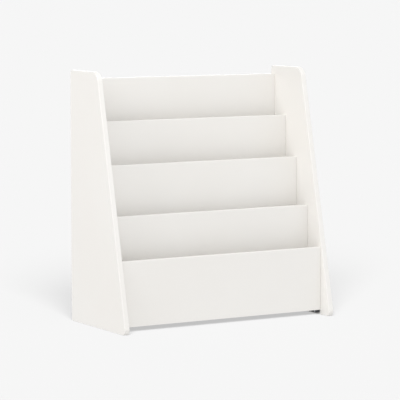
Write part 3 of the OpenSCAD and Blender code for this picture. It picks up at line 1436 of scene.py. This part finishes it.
@dataclass
class SidePanel(Piece):
    """A side panel with a sloping front edge and rounded corners."""

    host: Host = Host.PANEL
    floor_depth: float = 0.318
    top_depth: float = 0.158
    crown_radius: float = 0.034
    nape_radius: float = 0.010
    toe_radius: float = 0.015
    heel_radius: float = 0.002
    least_radius: float = 0.0002
    arc_step: float = math.radians(5)
    ease: float = 0.0015
    segments: int = 4
    ring: float = 0.0025

    def outline(self, inset: float) -> list[tuple[float, float]]:
        """Works out the outline with its corners rounded.

        Args:
            inset: How far inside the panel's outer edge the outline lies.

        Returns:
            Points as (y, z), as many whatever the inset.
        """
        low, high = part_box(self.node)
        rear = high.y
        corners = [
            (Vector((rear - self.floor_depth, low.z)), self.toe_radius),
            (Vector((rear, low.z)), self.heel_radius),
            (Vector((rear, high.z)), self.nape_radius),
            (Vector((rear - self.top_depth, high.z)), self.crown_radius),
        ]
        points: list[tuple[float, float]] = []
        for k, (corner, full_radius) in enumerate(corners):
            before = (corners[k - 1][0] - corner).normalized()
            after = (corners[(k + 1) % len(corners)][0] - corner).normalized()
            half = before.angle(after) / 2
            radius = max(full_radius - inset, self.least_radius)
            centre = corner + (before + after).normalized() * (inset + radius) / math.sin(half)
            start = before.orthogonal()
            start = start if start.dot(after) < 0 else -start
            turn = math.pi - 2 * half
            steps = math.ceil(turn / self.arc_step)
            first = math.atan2(start.y, start.x)
            for step in range(steps + 1):
                angle = first + turn * step / steps
                points.append((centre.x + radius * math.cos(angle), centre.y + radius * math.sin(angle)))
        return points

    def stations(self, low: float, high: float) -> list[tuple[float, float, float]]:
        """Lists the loops that the panel is skinned over, as (x, inset, arris).

        Args:
            low: The x of one face.
            high: The x of the other.

        Returns:
            The loops, from the first face's middle round the edge to the other's.
        """
        angles = [math.pi / 2 * k / self.segments for k in range(self.segments + 1)]
        curve = [(self.ease * (1 - math.cos(a)), self.ease * (1 - math.sin(a)), 1.0) for a in angles]
        half = [(0.0, self.ease + self.ring, 0.0)] + curve + [(self.ease + self.ring, 0.0, 0.0)]
        return [(low + d, inset, arris) for d, inset, arris in half] + [
            (high - d, inset, arris) for d, inset, arris in reversed(half)
        ]

    def solid(self, low: Vector, high: Vector) -> bmesh.types.BMesh:
        """Makes the panel as a skin over its loops.

        Args:
            low: Its lowest corner.
            high: Its highest corner.

        Returns:
            The bmesh.
        """
        shape = bmesh.new()
        layer = shape.verts.layers.float.new("arris")
        loops = []
        for x, inset, arris in self.stations(low.x, high.x):
            loop = [shape.verts.new((x, y, z)) for y, z in self.outline(inset)]
            for vert in loop:
                vert[layer] = arris
            loops.append(loop)
        skin(shape, loops)
        shape.faces.new(loops[0])
        shape.faces.new(loops[-1])
        return shape


# ---------- Dark blocks that stand for shade ---


@dataclass
class DarkShadeBlock(Piece):
    """A moulded block that carries the lowest boards at one side panel; its near-black colour is painted
    shade for the deep gap under the lowest board.
    """

    host: Host = Host.BLOCK
    slot: Slot = Slot.BLOCK
    finish: Finish = SHADE_BLOCK_PLASTIC
    bevel: float = 0.0008
    ease: float = 0.0003
    segments: int = 3

    def solid(self, low: Vector, high: Vector) -> bmesh.types.BMesh:
        """Makes the block, bevelled along its inner lower edge.

        Args:
            low: Its lowest corner.
            high: Its highest corner.

        Returns:
            The bmesh.
        """
        inner, outer = (low.x, high.x) if hand_at(low) > 0 else (high.x, low.x)
        step = math.copysign(self.bevel, outer - inner)
        section = [
            (inner + step, low.z), (outer, low.z), (outer, high.z),
            (inner, high.z), (inner, low.z + self.bevel),
        ]
        shape = bmesh.new()
        ends = [[shape.verts.new((x, y, z)) for x, z in section] for y in (low.y, high.y)]
        skin(shape, ends)
        for end in ends:
            shape.faces.new(end)
        bmesh.ops.recalc_face_normals(shape, faces=shape.faces)
        round_edges(shape, list(shape.edges), self.ease, self.segments)
        return shape


# ---------- Studio ----------


def direction(azimuth: float, elevation: float) -> Vector:
    """Points from the case towards a place around it.

    Args:
        azimuth: Degrees round from the front, towards the right.
        elevation: Degrees above the floor.

    Returns:
        A unit vector.
    """
    a, e = math.radians(azimuth), math.radians(elevation)
    return Vector((math.sin(a) * math.cos(e), -math.cos(a) * math.cos(e), math.sin(e)))


@dataclass(frozen=True)
class Softbox:
    """A square softbox that faces the middle of the case."""

    name: str
    azimuth: float
    elevation: float
    distance: float
    size: float
    watts: float
    tint: tuple[float, float, float] = (1.0, 1.0, 1.0)

    def build(self, aim: Vector, lit: bpy.types.Collection) -> None:
        """Hangs the softbox.

        Args:
            aim: The point that it faces.
            lit: The collection that says what it lights.
        """
        data = bpy.data.lights.new(self.name, "AREA")
        data.size = self.size
        data.energy = self.watts
        data.color = self.tint
        away = direction(self.azimuth, self.elevation)
        hang(data, aim + away * self.distance, away, lit)


@dataclass(frozen=True)
class Skylight:
    """A far, broad lamp that lights everything evenly."""

    name: str
    azimuth: float
    elevation: float
    strength: float
    spread: float

    def build(self, aim: Vector, lit: bpy.types.Collection) -> None:
        """Hangs the lamp.

        Args:
            aim: Where it hangs; its light is the same everywhere.
            lit: The collection that says what it lights.
        """
        data = bpy.data.lights.new(self.name, "SUN")
        data.energy = self.strength
        data.angle = math.radians(self.spread)
        hang(data, aim, direction(self.azimuth, self.elevation), lit)


def hang(data: bpy.types.Light, place: Vector, away: Vector, lit: bpy.types.Collection) -> None:
    """Hangs a lamp.

    Args:
        data: The lamp.
        place: Where it hangs.
        away: The way from the case to it.
        lit: The collection that says what it lights.
    """
    lamp = bpy.data.objects.new(data.name, data)
    bpy.context.scene.collection.objects.link(lamp)
    lamp.location = place
    lamp.rotation_euler = away.to_track_quat("Z", "Y").to_euler()
    lamp.visible_camera = False
    lamp.light_linking.receiver_collection = lit


@dataclass(frozen=True)
class Studio:
    """A floor that looks like paper, soft light all round, the lamps and the camera."""

    paper: float = 0.9216
    room: float = 0.650
    room_lean: tuple[float, float, float] = (0.0, -0.70, 0.25)
    floor_white: float = 0.06
    floor_glow: float = 0.39
    floor_radius: float = 160.0
    floor_sides: int = 96
    lamp_aim: tuple[float, float, float] = (0.0, 0.0, 0.35)
    floor_lamp: Skylight = Skylight("floor_lamp", azimuth=-30.0, elevation=38.0, strength=31.0, spread=36.0)
    softboxes: tuple[Softbox, ...] = (
        Softbox("side", -87.0, 35.0, distance=6.0, size=2.6, watts=123.0, tint=(1.0, 0.985, 0.97)),
        Softbox("top", -16.0, 50.0, distance=1.8, size=1.0, watts=4.1, tint=(0.97, 0.99, 1.0)),
        Softbox("rear", 150.0, 10.0, distance=4.0, size=2.0, watts=40.0),
    )
    lens: float = 194.54
    sensor: float = 36.0
    azimuth: float = -30.54
    elevation: float = 5.87
    distance: float = 6.11924
    farthest_seen: float = 640.0
    aim: tuple[float, float, float] = (-0.00965, 0.00298, 0.33885)

    def build(self) -> None:
        """Lays the floor, hangs the softboxes and sets up the camera."""
        floor = self.lay_floor()
        only_floor = bpy.data.collections.new("only_floor")
        only_floor.objects.link(floor)
        all_but_floor = bpy.data.collections.new("all_but_floor")
        all_but_floor.objects.link(floor)
        all_but_floor.collection_objects[0].light_linking.link_state = "EXCLUDE"
        self.light_room()
        self.floor_lamp.build(Vector(self.lamp_aim), only_floor)
        for softbox in self.softboxes:
            softbox.build(Vector(self.lamp_aim), all_but_floor)
        self.place_camera()

    def daylight(self) -> float:
        """Works out how bright the room and the floor's lamp make the floor.

        Returns:
            The brightness. Light from above counts two thirds of the room's lean upwards.
        """
        lamp = self.floor_lamp
        from_room = self.room * (1 + 2 / 3 * self.room_lean[2])
        from_lamp = lamp.strength * math.sin(math.radians(lamp.elevation)) / math.pi
        return self.floor_white * (from_room + from_lamp)

    def seen_as_paper(self, graph: Graph, otherwise: Any, besides: float = 0.0) -> Socket:
        """Shows the camera plain paper and lights the case with another brightness.

        The Mix node takes its numbers at its inputs 2 and 3.

        Args:
            graph: The tree.
            otherwise: The brightness for everything but the camera, a number or a socket.
            besides: Brightness that the camera already gets from elsewhere.

        Returns:
            The brightness's socket.
        """
        looked_at = graph.add("ShaderNodeLightPath").outputs["Is Camera Ray"]
        inputs = {0: looked_at, 2: otherwise, 3: self.paper - besides}
        return graph.add("ShaderNodeMix", inputs, data_type="FLOAT").outputs[0]

    def lay_floor(self) -> bpy.types.Object:
        """Lays one large disc, which looks like paper and is seen only from above.

        Returns:
            The disc.
        """
        shape = bmesh.new()
        bmesh.ops.create_circle(shape, cap_ends=True, segments=self.floor_sides, radius=self.floor_radius)
        floor = to_object("studio_floor", shape)
        paper = bpy.data.materials.new("studio_paper")
        paper.use_nodes = True
        graph = Graph(paper.node_tree)
        matt = graph.add("ShaderNodeBsdfDiffuse", {"Color": (self.floor_white,) * 3 + (1.0,)})
        glow = self.seen_as_paper(graph, self.floor_glow, self.daylight())
        lit = graph.add("ShaderNodeEmission", {"Strength": glow})
        both = graph.add("ShaderNodeAddShader", {0: matt.outputs[0], 1: lit.outputs[0]})
        under = graph.add("ShaderNodeNewGeometry").outputs["Backfacing"]
        clear = graph.add("ShaderNodeBsdfTransparent")
        seen = graph.add("ShaderNodeMixShader", {0: under, 1: both.outputs[0], 2: clear.outputs[0]})
        graph.add("ShaderNodeOutputMaterial", {"Surface": seen.outputs[0]})
        floor.data.materials.append(paper)
        return floor

    def light_room(self) -> None:
        """Fills the room with soft light that grows towards the front."""
        world = bpy.data.worlds.new("studio_room")
        world.use_nodes = True
        graph = Graph(world.node_tree)
        way = graph.add("ShaderNodeTexCoord").outputs["Generated"]
        leaning = graph.add("ShaderNodeVectorMath", {0: way, 1: self.room_lean}, operation="DOT_PRODUCT")
        light = graph.math("MULTIPLY_ADD", leaning.outputs["Value"], self.room, self.room)
        inputs = {"Color": WHITE, "Strength": self.seen_as_paper(graph, light)}
        shade = graph.add("ShaderNodeBackground", inputs)
        graph.add("ShaderNodeOutputWorld", {"Surface": shade.outputs[0]})
        bpy.context.scene.world = world

    def place_camera(self) -> None:
        """Places the camera in front of the case, a little to its left."""
        data = bpy.data.cameras.new("studio_camera")
        data.lens = self.lens
        data.sensor_width = self.sensor
        data.clip_end = self.farthest_seen
        camera = bpy.data.objects.new("studio_camera", data)
        bpy.context.scene.collection.objects.link(camera)
        away = direction(self.azimuth, self.elevation)
        camera.location = Vector(self.aim) + away * self.distance
        camera.rotation_euler = away.to_track_quat("Z", "Y").to_euler()
        bpy.context.scene.camera = camera
        bpy.context.scene.view_settings.view_transform = "Standard"


# ---------- The bookcase ----------


@dataclass
class Bookcase:
    """The whole case, built in the order that it is put together."""

    pockets: int = 4
    fittings: list[Fittings] = field(default_factory=lambda: [
        Dowels(), CamBolts(), CamLocks(), CamCaps(), FloorScrews(), BlockScrews(),
    ])

    def boards(self) -> list[Board]:
        """Lists the straight boards.

        Returns:
            The uprights, the floors and the rail.
        """
        numbers = range(1, self.pockets + 1)
        boards = [Board(f"front_board_{n}", f"upright_{n}") for n in numbers]
        boards.append(Board("back_panel", f"upright_{self.pockets + 1}"))
        boards += [Board(f"pocket_floor_{n}", f"floor_{n}", Host.FLOOR) for n in numbers]
        boards.append(Board("rear_rail", "rail"))
        return boards

    def build(self) -> None:
        """Drills and builds the boards, then fits everything that holds them together."""
        bores = WallFixing().bores()
        for fitting in self.fittings:
            bores += fitting.bores()
        for hand in ("left", "right"):
            SidePanel(f"side_panel_{hand}", f"side_{hand}").build(bores)
        for board in self.boards():
            board.build(bores)
        for hand in ("left", "right"):
            DarkShadeBlock(f"base_block_{hand}", f"block_{hand}").build(bores)
        for fitting in self.fittings:
            fitting.build()


def main() -> None:
    """Builds the case and the studio, in order."""
    logging.basicConfig(level=logging.INFO, format="%(name)s: %(message)s")
    Bookcase().build()
    Studio().build()


if __name__ == "__main__":
    main()
